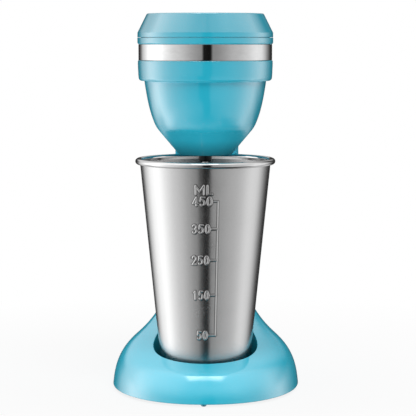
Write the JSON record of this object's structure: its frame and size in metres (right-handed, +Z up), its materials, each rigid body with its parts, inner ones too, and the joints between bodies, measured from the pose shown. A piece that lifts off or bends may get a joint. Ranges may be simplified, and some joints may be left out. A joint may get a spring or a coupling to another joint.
{
  "type": "milkshake mixer",
  "caption": "Free-standing electric drink mixer with a dished base, a motor head that tips back on a knuckle hinge, an agitator spindle and a tapered steel cup.",
  "frame": {"origin": "on the worktop plane, under the shared axis of the cup and the spindle", "axes": "+Z up, -Y towards the user, +X to the user's right; the hinge of the head is parallel to X"},
  "size_m": [0.1296, 0.2759, 0.258],
  "materials": {
    "shell": "glossy moulded, pale blue",
    "mirror_band": "mirror bright",
    "cup_steel": "brushed round the cup, rim polished",
    "bright_steel": "fine ground",
    "plain_steel": "plain",
    "black_plastic": "fine grained, black",
    "rubber": "dull black",
    "bronze": "plain",
    "brass": "plain",
    "copper": "enamelled copper wire"
  },
  "bodies": {
    "base": {"base_shell": "shell", "base_plate": "black_plastic", "ballast_plate": "plain_steel", "base_screws": "plain_steel", "foot_front_left": "rubber", "foot_front_right": "rubber", "foot_rear_left": "rubber", "foot_rear_right": "rubber", "foot_middle": "rubber", "cup_seat_pad": "rubber", "strain_relief": "rubber", "power_cord": "rubber", "plug_body": "rubber", "plug_pins": "brass", "cord_clamp": "plain_steel", "clamp_screws": "plain_steel", "supply_wires": "copper", "hinge_pin": "bright_steel", "hinge_cap_left": "black_plastic", "hinge_cap_right": "black_plastic"},
    "head": {"head_housing": "shell", "hinge_bush_left": "bronze", "hinge_bush_right": "bronze", "hinge_washers": "black_plastic", "mirror_band": "mirror_band", "upper_ring": "shell", "lid": "shell", "splash_collar": "black_plastic", "switch_bezel": "black_plastic", "switch_body": "black_plastic", "head_leads": "copper", "motor_bridge_lower": "plain_steel", "motor_bridge_upper": "plain_steel", "motor_screws": "plain_steel", "motor_spacers": "brass", "bearing_lower": "bronze", "bearing_upper": "bronze", "field_core": "plain_steel", "field_coil_front": "copper", "field_coil_rear": "copper", "brush_holder_left": "brass", "brush_holder_right": "brass", "brush_left": "black_plastic", "brush_right": "black_plastic"},
    "rocker": {"switch_rocker": "black_plastic"},
    "drive": {"motor_shaft": "bright_steel", "armature_core": "plain_steel", "armature_windings": "copper", "commutator": "copper", "cooling_fan": "black_plastic", "drive_coupling": "black_plastic", "spindle": "bright_steel", "agitator": "bright_steel"},
    "cup": {"cup": "cup_steel"}
  },
  "joints": [
    {"name": "head_tilt", "type": "hinge", "parent": "base", "child": "head", "pos_m": [0, 0.072, 0.12], "axis": [-1, 0, 0], "range_deg": [0, 65]},
    {"name": "switch_rock", "type": "hinge", "parent": "head", "child": "rocker", "pos_m": [0, 0.086, 0.155], "axis": [1, 0, 0], "range_deg": [-12, 12]},
    {"name": "motor_spin", "type": "hinge", "parent": "head", "child": "drive", "pos_m": [0, 0, 0.2], "axis": [0, 0, 1], "continuous": true},
    {"name": "cup_lift", "type": "slide", "parent": "base", "child": "cup", "axis": [0, 0, 1], "range_m": [0, 0.02]}
  ]
}
